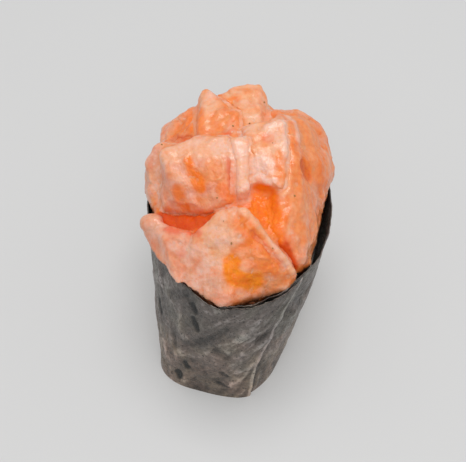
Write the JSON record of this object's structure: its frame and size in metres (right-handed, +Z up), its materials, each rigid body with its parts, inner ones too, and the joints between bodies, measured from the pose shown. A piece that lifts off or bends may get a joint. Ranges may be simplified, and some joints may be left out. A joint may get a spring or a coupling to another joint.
{
  "type": "gunkan sushi",
  "caption": "Gunkan sushi: an upright nori band wrapped round a bed of rice and heaped with cut pieces of salmon in a pale dressing.",
  "frame": {"origin": "on the resting surface, under the middle of the part's box", "axes": "+Z up, +Y along the longer way of the sushi towards its back end, -Y towards the end where the nori laps over itself"},
  "size_m": [0.0374, 0.054, 0.0434],
  "materials": {
    "nori": "dark grey-green sheet of pressed seaweed, damp, creased and mottled",
    "rice": "cooked white rice, slightly glossy",
    "salmon": "moist orange fish flesh under a thin pale dressing",
    "dressing": "pale creamy dressing, wet and glossy",
    "seasoning": "small dry specks of spice and nori"
  },
  "bodies": {
    "root": {"nori_band": "nori", "rice_bed": "rice", "salmon_front": "salmon", "salmon_mid_left": "salmon", "salmon_strip": "salmon", "salmon_centre": "salmon", "salmon_right": "salmon", "salmon_back_left": "salmon", "salmon_back": "salmon", "salmon_left_small": "salmon", "salmon_under": "salmon"}
  },
  "joints": []
}
